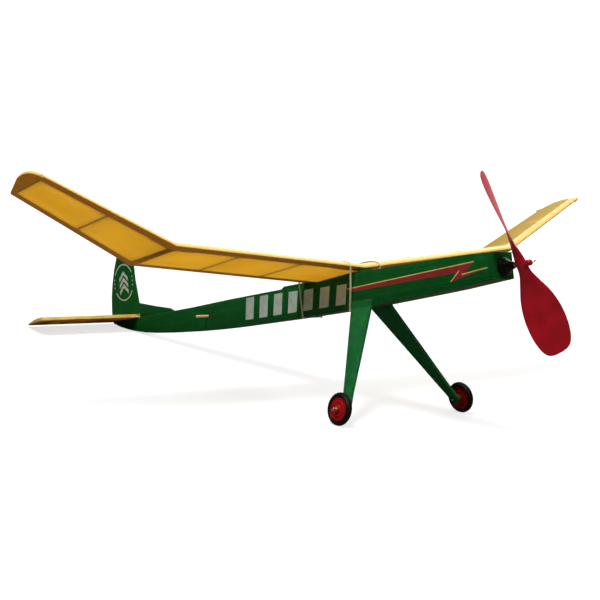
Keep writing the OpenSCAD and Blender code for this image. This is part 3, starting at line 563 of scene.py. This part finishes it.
def tip_plate(side, name):
    """The rounded sheet beyond the end rib, thick behind the leading edge and sanded thin at its rim."""
    outline = smooth_line(TIP_EDGE, 5)
    verts, faces = [], []
    layers = ((0.0, 0.25), (0.35, 0.0), (1.6, 0.0), (2.15, 0.25), (2.4, 0.8))
    for height, inset in layers:
        for x, y in outline:
            pull = inset if y > 0.01 else 0.0
            cx, cy = -24.0, 2.0
            reach = math.hypot(x - cx, y - cy)
            verts.append((x + (cx - x) * pull / reach, max(0.0, y + (cy - y) * pull / reach), height))
    n = len(outline)
    faces += [(k * n + i, k * n + (i + 1) % n, (k + 1) * n + (i + 1) % n, (k + 1) * n + i)
              for k in range(len(layers) - 1) for i in range(n)]
    faces += [tuple(range(n)), tuple(range((len(layers) - 1) * n, len(layers) * n))]
    placed = [wing_point("tip", side, x - TIP_SWEEP, OUTER_SPAN + 0.02 + y, z) for x, y, z in verts]
    piece(f"wing_tip_{name}", placed, faces, tip_wood, "airframe", [f"tip_plate_{name}"], sharp=40)


for side, name in ((1, "port"), (-1, "starboard")):
    covering("inner", side, name)
    covering("tip", side, name)
    tip_plate(side, name)
    for node in ("inner_leading_edge_", "inner_trailing_edge_", "tip_leading_edge_", "tip_trailing_edge_"):
        NODES[node + name].data.materials.clear()
        NODES[node + name].data.materials.append(spar)


# ---------------------------------------------------------------- tail

def tail_outline():
    """Plan of one tip, from the leading edge back."""
    ins = ((0, 3.4), (0.9, 1.5), (3, 0.3), (6, 0), (15, 1.2), (30, 4.4), (45, 8), (54, 10.4), (58.5, 12.4), (60, 15.5))
    return [(TAILPLANE_X - along, TAILPLANE_HALF - across) for along, across in ins]


def tail_depth(x):
    """Depth of the frame at a place along the chord."""
    back = min(max(TAILPLANE_X - x, 0.0), TAILPLANE_CHORD)
    for (da, ha), (db, hb) in zip(TAIL_DEPTH, TAIL_DEPTH[1:]):
        if back <= db:
            return ha + (hb - ha) * (back - da) / (db - da)
    return TAIL_DEPTH[-1][1]


def tail_width_at(x):
    """Half span of the tailplane at a place along the chord."""
    corner = tail_outline()
    for (xa, ya), (xb, yb) in zip(corner, corner[1:]):
        if xb <= x <= xa:
            return ya + (yb - ya) * (xa - x) / max(xa - xb, 1e-6)
    return corner[-1][1]


TAIL_RIBS = (-70.8, -34.8, 0.0, 34.8, 70.8)


def tail_skin(over):
    """One skin of the tailplane, pulled in between its ribs."""
    name = "upper" if over else "lower"
    edge_back = TAILPLANE_X - TAILPLANE_CHORD
    chordwise = stations([TAILPLANE_X - 0.05, TAILPLANE_X - 6, edge_back + 6, edge_back + 0.05], 2.7)
    spanwise = stations([-1.0, -0.828, -0.6, -0.29, 0.0, 0.29, 0.6, 0.828, 1.0], 0.022)
    verts, gaps, overs = [], [], []
    for u in spanwise:
        for x in chordwise:
            y = u * (tail_width_at(x) - 0.05)
            stops = [-TAIL_TIP, *TAIL_RIBS, TAIL_TIP]
            near = min(abs(y - r) for r in TAIL_RIBS) - (2.0 if abs(y) < 10 else 0.8)
            bay = next(((a, b) for a, b in zip(stops, stops[1:]) if a <= y < b), None)
            sag = 0.0
            inside = min(TAILPLANE_X - 6 - x, x - edge_back - 6)
            if bay and inside > 0:
                v = (y - bay[0]) / (bay[1] - bay[0])
                w = 2 * inside / (TAILPLANE_CHORD - 12)
                sag = 0.2 * tail_depth(x) * (1 - abs(2 * v - 1) ** 2.2) * min(1.0, w * 1.6)
            z = DECK_Z + 2 * TAIL_FILM + tail_depth(x) - 0.12 - sag if over else DECK_Z + 0.12 + sag * 0.9
            verts.append((x, y, z))
            gaps.append(min(near, inside, TAIL_TIP - abs(y)))
            overs.append(1.0 if over else 0.0)
    obj = piece(f"tailplane_tissue_{name}", verts, grid_faces(len(spanwise), len(chordwise), False), yellow, None,
                sharp=32, floats={"gap": gaps, "over": overs})
    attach(obj, "airframe")
    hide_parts("tailplane_covering")


tail_skin(True)
tail_skin(False)
tail_strip = wood("tail_strip_wood", (0.96, 0.70, 0.24), (0.70, 0.42, 0.09), along=PORT, across=UP, streaks=1.5,
                  rough=(0.45, 0.62))
for node in ("tailplane_leading_edge", "tailplane_trailing_edge", "tailplane_tip_port", "tailplane_tip_starboard"):
    refine(node, tail_strip, 0.35, 3)
refine("fin", green_fin, 0.6, 3)
refine("fin_fillet", green, 0.5, 3)


# ---------------------------------------------------------------- fuselage and undercarriage

for node in ("fuselage_side_port", "fuselage_side_starboard", "fuselage_top_sheet", "wing_platform"):
    refine(node, green, 0.3, 2)
refine("fuselage_bottom_sheet", bottom, 0.25, 2)
refine("nose_former", green, 0.2, 2)
for side, name in ((1, "port"), (-1, "starboard")):
    refine("leg_" + name, green_leg[side], 0.45, 3)
refine("motor_peg", dowel, 0.3, 3)


def side_half(x):
    return HALF_BODY if x >= 0 else HALF_BODY + (HALF_BODY - TAIL_HALF) * x / -TAIL_X


def decal(name, shapes, half, proud, material, body="airframe"):
    """Flat painted shapes on both sides, each a list of (x, z), standing proud of the half width half(x)."""
    for side, which in ((-1, "starboard"), (1, "port")):
        parts = []
        for shape in shapes:
            n = len(shape)
            inner = [(x, side * (half(x) - 0.05), z) for x, z in shape]
            outer = [(x, side * (half(x) + proud), z) for x, z in shape]
            faces = [tuple(range(n)), tuple(range(n, 2 * n))]
            faces += [(i, (i + 1) % n, n + (i + 1) % n, n + i) for i in range(n)]
            parts.append((inner + outer, faces))
        verts, faces = join(parts)
        obj = piece(f"{name}_{which}", verts, faces, material, body, sharp=20)
        bm = bmesh.new()
        bm.from_mesh(obj.data)
        bmesh.ops.triangulate(bm, faces=[f for f in bm.faces if len(f.verts) > 4], ngon_method="EAR_CLIP")
        bm.to_mesh(obj.data)
        bm.free()


def bars():
    """Seven plain slanted bars."""
    made = []
    for i in range(7):
        x = -74.5 + 22.6 * i
        low, high = -9.4 - 0.05 * i, 11.2 - 0.6 * i
        made.append([(x, low), (x + 13.0, low), (x + 17.0, high), (x + 4.0, high)])
    return made


EMBLEM_X, EMBLEM_Z = -306.5, 53.8


def ribbon(line, width):
    """A thin strip of the given width below a line."""
    return line + [(x, z - width) for x, z in reversed(line)]


def arc(radius, width, start, stop):
    """A stretch of ring about the middle of the fin."""
    turns = [math.radians(start + (stop - start) * k / 14) for k in range(15)]
    return [(EMBLEM_X + r * math.cos(a), EMBLEM_Z + r * math.sin(a))
            for r, run in ((radius, turns), (radius - width, turns[::-1])) for a in run]


FLASH_TOP = [(78.6, 3.3), (132, 4.9), (180, 6.3), (227.6, 7.6)]
FLASH_RED = FLASH_TOP + [(217.5, 0.4), (214.6, -1.1), (240.4, 0.6), (201.0, -5.2), (210.2, 1.2), (204.0, 0.9),
                         (180, 1.0),
                         (132, 0.5), (78.6, 0.1)]
FLASH_YELLOW = [ribbon([(x, z + 0.15) for x, z in FLASH_TOP], 0.85),
                ribbon([(213.6, -0.6), (228, 0.6), (240.6, 1.4)], 0.8),
                [(200.4, -5.3), (201.9, -5.2), (211.9, 2.2), (210.6, 2.3)]]
CHEVRON = [(-315.5, 0), (-306.5, 7.5), (-297.5, 0), (-297.5, 4.2), (-306.5, 11.7), (-315.5, 4.2)]
RING = [arc(20.5, 1.5, 28, 152), arc(20.5, 1.5, 212, 328)]
RING += [[(x, z), (x + 1.7, z), (x + 1.7, z + 1.7), (x, z + 1.7)] for x in (-326.6, -289.0) for z in (48.5, 53, 57.5)]
decal("white_bars", bars(), side_half, 0.10, white_paint)
decal("flash_red", [FLASH_RED], side_half, 0.08, red_paint)
decal("flash_yellow", FLASH_YELLOW, side_half, 0.14, yellow_paint)
decal("fin_chevrons", [[(x, z + shift) for x, z in CHEVRON] for shift in (40.5, 47.5, 54.5)] + RING,
      lambda x: 1.0, 0.10, white_paint)


# ---------------------------------------------------------------- wheels

def round_profile(points, steps=4):
    """A closed profile of (along, radius) with its corners eased."""
    n = len(points)
    made = []
    for i in range(n):
        a, b, c = points[i - 1], points[i], points[(i + 1) % n]
        for k in range(steps + 1):
            t = k / steps
            p = [b[j] + (a[j] - b[j]) * 0.32 for j in (0, 1)]
            q = [b[j] + (c[j] - b[j]) * 0.32 for j in (0, 1)]
            made.append(tuple((1 - t) ** 2 * p[j] + 2 * t * (1 - t) * b[j] + t * t * q[j] for j in (0, 1)))
    return made


def wheel_place(side):
    c, s = math.cos(CAMBER), math.sin(CAMBER)

    def place(along, across, up):
        """along points outward on the axle"""
        return (WHEEL[0] + across, side * (WHEEL[1] + along * c - up * s), WHEEL[2] + along * s + up * c)
    return place


TYRE = [(-2.04, 9.82), (-2.82, 10.8), (-3.0, 11.6), (-2.5, 12.25), (-1.45, 13.05), (-0.55, 13.27), (0, 13.3),
        (0.55, 13.27), (1.45, 13.05), (2.5, 12.25), (3.0, 11.6), (2.82, 10.8), (2.04, 9.82)]
DISC = [(-3.2, 0.82), (-3.2, 2.3), (-2.55, 2.75), (-1.75, 3.1), (-1.7, 4.9), (-2.05, 5.3), (-2.05, 6.1), (-1.55, 6.6),
        (-1.35, 8.4), (-1.75, 8.9), (-1.75, 9.6), (-1.2, 9.8), (1.2, 9.8), (1.75, 9.6), (1.75, 8.9), (1.35, 8.4),
        (1.55, 6.6), (2.05, 6.1), (2.05, 5.3), (1.7, 4.9), (1.75, 3.1), (2.55, 2.75), (3.2, 2.3), (3.2, 0.82)]
for side, name in ((1, "port"), (-1, "starboard")):
    place = wheel_place(side)
    verts, faces = lathe(round_profile(TYRE, 3), 96, place)
    piece(f"tyre_{name}_finish", verts, faces, tyre_black, f"wheel_{name}", [f"tyre_{name}"], sharp=50)
    verts, faces = lathe(round_profile(DISC, 2), 72, place)
    piece(f"wheel_disc_{name}_finish", verts, faces, disc_red, f"wheel_{name}",
          [f"wheel_disc_{name}"], sharp=50)


# ---------------------------------------------------------------- nose and propeller

def on_shaft(along, across, up):
    return (along, across, SHAFT_Z + up)


BUTTON = [(238.65, 0.67), (238.65, 4.2), (239.1, 4.68), (247.5, 4.68), (247.52, 7.0), (247.9, 7.38), (249.3, 7.4),
          (249.7, 7.2), (250.6, 6.2), (251.2, 5.6), (252.0, 5.0), (254.4, 3.9), (257.0, 2.95),
          (258.6, 2.35), (259.0, 1.9),
          (259.0, 0.67)]
verts, faces = lathe(BUTTON, 64, on_shaft)
piece("nose_button_finish", verts, faces, black, "nose_plug", ["nose_button"], sharp=38)

BLADE = [(0, 8.8, 8.2, 90), (4, 8.8, 7.4, 66), (8, 9.8, 6.3, 55), (12, 12.4, 5, 50.5), (18, 17, 3.6, 46.5),
         (26, 23.2, 2.4, 42.5), (35, 27.8, 1.7, 39.5), (45, 30.4, 1.3, 37), (55, 30.4, 1.1, 34.8), (63, 28.4, 1.0, 33),
         (69, 25, 0.95, 31.8), (73, 20.4, 0.85, 31.2), (75.2, 14.2, 0.75, 31), (76.1, 6.5, 0.6, 30.9)]


def blade_ring(station, way):
    """Outline of the blade at a station; way is 1 for the upper blade and -1 for the lower one."""
    r, chord, depth, angle = station
    b, around, ring = math.radians(angle), 32, []
    for k in range(around):
        a = way * 2 * math.pi * k / around
        u = chord / 2 * math.cos(a)
        v = depth / 2 * math.sin(a) * (0.82 + 0.18 * math.cos(a) if r > 14 else 1.0)
        y, z = way * (u * math.cos(b) + v * math.sin(b)), way * r
        c, s = math.cos(BLADE_TURN), math.sin(BLADE_TURN)
        ring.append((BLADE_X + v * math.cos(b) - u * math.sin(b), y * c - z * s, SHAFT_Z + y * s + z * c))
    return ring


def blades():
    """Both blades in one moulding, round and thick at the boss and thin at the rounded tips."""
    upper_half = smooth_line(BLADE, 5)
    rings = [blade_ring(st, -1) for st in reversed(upper_half[1:])] + [blade_ring(st, 1) for st in upper_half]
    around = len(rings[0])
    start = (len(rings) - 1) * around
    faces = grid_faces(len(rings), around, True) + [tuple(range(around)), tuple(range(start, start + around))]
    return [v for ring in rings for v in ring], faces


BOSS = [(260.45, 0.67), (260.45, 2.0), (260.75, 2.28), (263, 2.5), (268, 2.5), (270, 2.4), (273.4, 2.4), (274.1, 2.2),
        (274.45, 1.8), (274.45, 0.67)]
tooth_verts = [(x, y, SHAFT_Z - z) for x in (274.3, 275.55) for y in (-0.58, 0.58) for z in (0.88, 1.82)]
tooth = (tooth_verts, [(0, 1, 3, 2), (4, 6, 7, 5), (0, 2, 6, 4), (1, 5, 7, 3), (0, 4, 5, 1), (2, 3, 7, 6)])
verts, faces = join([lathe(BOSS, 56, on_shaft), blades(), tooth])
piece("propeller_finish", verts, faces, red, "propeller", ["propeller"], sharp=40)


# ---------------------------------------------------------------- rubber motor

MOTOR_BACK, MOTOR_FRONT, MOTOR_MIDDLE = -139.8, 229.8, 45.0
LOOP_RADIUS = 3.2
STRAND = [(0.42, 0.3), (0.3, 0.42), (-0.3, 0.42), (-0.42, 0.3),
          (-0.42, -0.3), (-0.3, -0.42), (0.3, -0.42), (0.42, -0.3)]


def motor_strands(end):
    """Flat rubber strands from the middle of the fuselage round the hook or the peg and back, crossing a little."""
    parts = []
    way = 1 if end > MOTOR_MIDDLE else -1
    straight = [MOTOR_MIDDLE + (end - MOTOR_MIDDLE) * k / 35 for k in range(35)]
    for i, lane in enumerate((-0.95, 0.0, 0.95)):
        for j, depth in enumerate((-0.55, 0.55)):
            reach = LOOP_RADIUS + depth
            phase = 2.3 * i + 1.1 * j

            def leg(x, up):
                return (x, lane + 0.25 * math.sin(x / 25 + phase + up), up * reach + 0.2 * math.sin(x / 30 + phase))

            path = [leg(x, 1) for x in straight]
            path += [(end + way * reach * math.sin(a), lane, reach * math.cos(a))
                     for a in (math.pi * k / 10 for k in range(11))]
            path += [leg(x, -1) for x in reversed(straight)]
            parts.append(sweep([(x, y, z + SHAFT_Z) for x, y, z in path], STRAND, Vector((0, 1, 0))))
    return join(parts)


verts, faces = motor_strands(MOTOR_BACK)
strands = piece("rubber_motor_rear", verts, faces, rubber, None, sharp=50)
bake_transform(strands)
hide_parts("rubber_motor")
verts, faces = motor_strands(MOTOR_FRONT)
strands = piece("rubber_motor_front", verts, faces, rubber, None, sharp=50)
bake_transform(strands)
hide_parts("rubber_motor")

# ---------------------------------------------------------------- wing band

BAND_SECTION = ((0.78, 0.2), (0.66, 0.33), (-0.66, 0.33), (-0.78, 0.2),
                (-0.78, -0.2), (-0.66, -0.33), (0.66, -0.33), (0.78, -0.2))
BAND_LIFT = 0.42


def band_path():
    """The centre line of the band: over one panel, under the fuselage, over the other and under again."""
    def half(side):
        over = [(-s * CHORD + 0.7 * (1 - 2 * s), upper(s, DEPTH) + BAND_LIFT)
                for s in ((k / 22) ** 2 for k in range(23))]
        path = [(79.9, side * 5.0, -15.55), (79.9, side * 10.2, -15.5), (80.05, side * 10.95, -14.9),
                (86.0, side * 13.6, 2.0), (91.6, side * 16.6, 18.2)]
        path += [(92.95, side * 17.0, 21.4)]
        path += [wing_point("inner", side, x, 17.0, z) for x, z in over]
        path += [(21.2, side * 16.9, 16.2), (18.6, side * 14.2, 2.0), (15.2, side * 10.95, -14.9),
                 (15.1, side * 10.2, -15.5), (15.1, side * 5.0, -15.55)]
        return path
    return half(1) + half(-1)[::-1]


def band_loop():
    path = band_path()
    path.append(path[0])
    line = smooth_line(path, 4)[:-1]
    verts, count = [], len(line)
    for i, p in enumerate(line):
        along = (Vector(line[(i + 1) % count]) - Vector(line[i - 1])).normalized()
        centre = Vector((p[0], 0, 2.0)) if abs(p[1]) < 10.5 else Vector((58.0, p[1] * 0.2, 4.0))
        out = Vector(p) - centre
        out = (out - along * out.dot(along)).normalized()
        wide = along.cross(out)
        for u, v in BAND_SECTION:
            verts.append(tuple(Vector(p) + wide * u + out * v))
    faces = [(r * 8 + c, r * 8 + (c + 1) % 8, ((r + 1) % count) * 8 + (c + 1) % 8, ((r + 1) % count) * 8 + c)
             for r in range(count) for c in range(8)]
    return verts, faces


verts, faces = band_loop()
piece("wing_band_loop", verts, faces, pale_rubber, "airframe", ["wing_band"], sharp=60)

# ---------------------------------------------------------------- CAD nodes that stay

KEPT = {
    bare: ("leg_former", "wing_former", "peg_former", "tail_block", "inner_ribs_port", "inner_ribs_starboard",
           "tip_ribs_port", "tip_ribs_starboard", "tailplane_ribs"),
    hard: ("peg_plate_port", "peg_plate_starboard", "joint_brace_port", "joint_brace_starboard", "centre_brace"),
    steel: ("axle_port", "axle_starboard"),
    brass: ("propeller_shaft", "thrust_washer", "axle_washer_port", "axle_washer_starboard"),
}
for material, nodes in KEPT.items():
    for node in nodes:
        NODES[node].data.materials.clear()
        NODES[node].data.materials.append(material)


# ---------------------------------------------------------------- floor, light and camera

def dish():
    """A round pale floor whose far edge curves up, so that no horizon shows."""
    flat, bend = 3.2, 2.4
    profile = [(0.0, 0.0), (0.6, 0.0), (1.6, 0.0), (flat, 0.0)]
    profile += [(flat + bend * math.sin(a), bend - bend * math.cos(a))
                for a in (math.pi / 2 * k / 12 for k in range(1, 13))]
    profile += [(5.6, 5.0)]
    verts, faces = [(0.0, 0.0, 0.0)], []
    steps = 72
    for r, z in profile[1:]:
        turns = [2 * math.pi * k / steps for k in range(steps)]
        verts += [(r * math.cos(a), r * math.sin(a), z) for a in turns]
    faces += [(0, 1 + k, 1 + (k + 1) % steps) for k in range(steps)]
    for i in range(len(profile) - 2):
        for k in range(steps):
            m = (k + 1) % steps
            faces.append((1 + i * steps + k, 1 + (i + 1) * steps + k, 1 + (i + 1) * steps + m, 1 + i * steps + m))
    mesh = bpy.data.meshes.new("floor")
    mesh.from_pydata(verts, [], faces)
    mesh.polygons.foreach_set("use_smooth", [True] * len(mesh.polygons))
    made, tree, shader, out = new_material("floor_paper")
    at = put(tree, "TexCoord").outputs["Object"]
    tone = blend_colour(tree, span(tree, speckle(tree, at, 3.0), 0.3, 0.7), (0.34, 0.34, 0.34), (0.37, 0.37, 0.37))
    tree.links.new(tone, shader.inputs["Base Color"])
    shader.inputs["Roughness"].default_value = 0.9
    shader.inputs["Specular IOR Level"].default_value = 0.1
    shader.inputs["Emission Color"].default_value = (1.0, 1.0, 1.0, 1)
    reach = put(tree, "VectorMath", {0: at}, operation="LENGTH").outputs["Value"]
    tree.links.new(span(tree, reach, 0.7, 1.6, 0.72, 1.15), shader.inputs["Emission Strength"])
    dim = put(tree, "BsdfDiffuse", {"Color": (0.22, 0.22, 0.21, 1)})
    seen = put(tree, "LightPath").outputs["Is Camera Ray"]
    mixed = put(tree, "MixShader", {0: seen, 1: dim.outputs[0], 2: shader.outputs[0]})
    tree.links.new(mixed.outputs[0], out.inputs["Surface"])
    mesh.materials.append(made)
    floor = bpy.data.objects.new("floor", mesh)
    bpy.context.scene.collection.objects.link(floor)


dish()


def lamp(name, size, power, at, aim, colour=(1, 1, 1)):
    data = bpy.data.lights.new(name, "AREA")
    data.shape = "SQUARE"
    data.size = size
    data.energy = power
    data.color = colour
    obj = bpy.data.objects.new(name, data)
    obj.location = at
    obj.rotation_euler = (Vector(aim) - Vector(at)).to_track_quat("-Z", "Y").to_euler()
    bpy.context.scene.collection.objects.link(obj)


def from_level(forward, port, up, reach):
    """A place that lies in the given direction of the level aeroplane."""
    return TURN @ (Vector((forward, port, up)).normalized() * reach) + Vector((0, 0, 0.08))


lamp("key", 0.6, 46, from_level(0.50, -0.50, 1.0, 2.4), (0, 0, 0.08), (1.0, 0.98, 0.95))
lamp("fill", 1.2, 9, from_level(0.7, -1.0, 1.7, 2.4), (0, 0, 0.08), (0.97, 0.98, 1.0))
lamp("front", 1.2, 16, from_level(1.0, -0.12, 0.42, 2.6), (0, 0, 0.08), (1.0, 0.99, 0.97))
lamp("back", 1.4, 36, from_level(-0.5, 1.2, 1.1, 2.6), (0, 0, 0.08), (1.0, 0.99, 0.97))

world = bpy.data.worlds.new("studio")
bpy.context.scene.world = world
world.use_nodes = True
world.node_tree.nodes["Background"].inputs[0].default_value = (0.96, 0.97, 1.0, 1)
world.node_tree.nodes["Background"].inputs[1].default_value = 0.32

# the photograph's viewing angle, about the level aeroplane
YAW, PITCH, ROLL, DISTANCE = math.radians(51.3), math.radians(-4.0), math.radians(-4.7), 1131.0
back = Vector((math.sin(YAW) * math.cos(PITCH), -math.cos(YAW) * math.cos(PITCH), math.sin(PITCH)))
right = (-back).cross(Vector((0, 0, 1))).normalized()
over = right.cross(-back)
tilted_right = math.cos(ROLL) * right + math.sin(ROLL) * over
tilted_up = -math.sin(ROLL) * right + math.cos(ROLL) * over
camera = bpy.data.objects.new("camera", bpy.data.cameras.new("camera"))
camera.data.lens = 74.66
camera.data.sensor_width = 36.0
axes = Matrix((TURN @ tilted_right, TURN @ tilted_up, TURN @ back)).transposed().to_4x4()
axes.translation = level(*(Vector((-0.5, 0, 1.8)) + back * DISTANCE))
camera.matrix_world = axes
bpy.context.scene.collection.objects.link(camera)
bpy.context.scene.camera = camera
bpy.context.scene.view_settings.view_transform = "Standard"
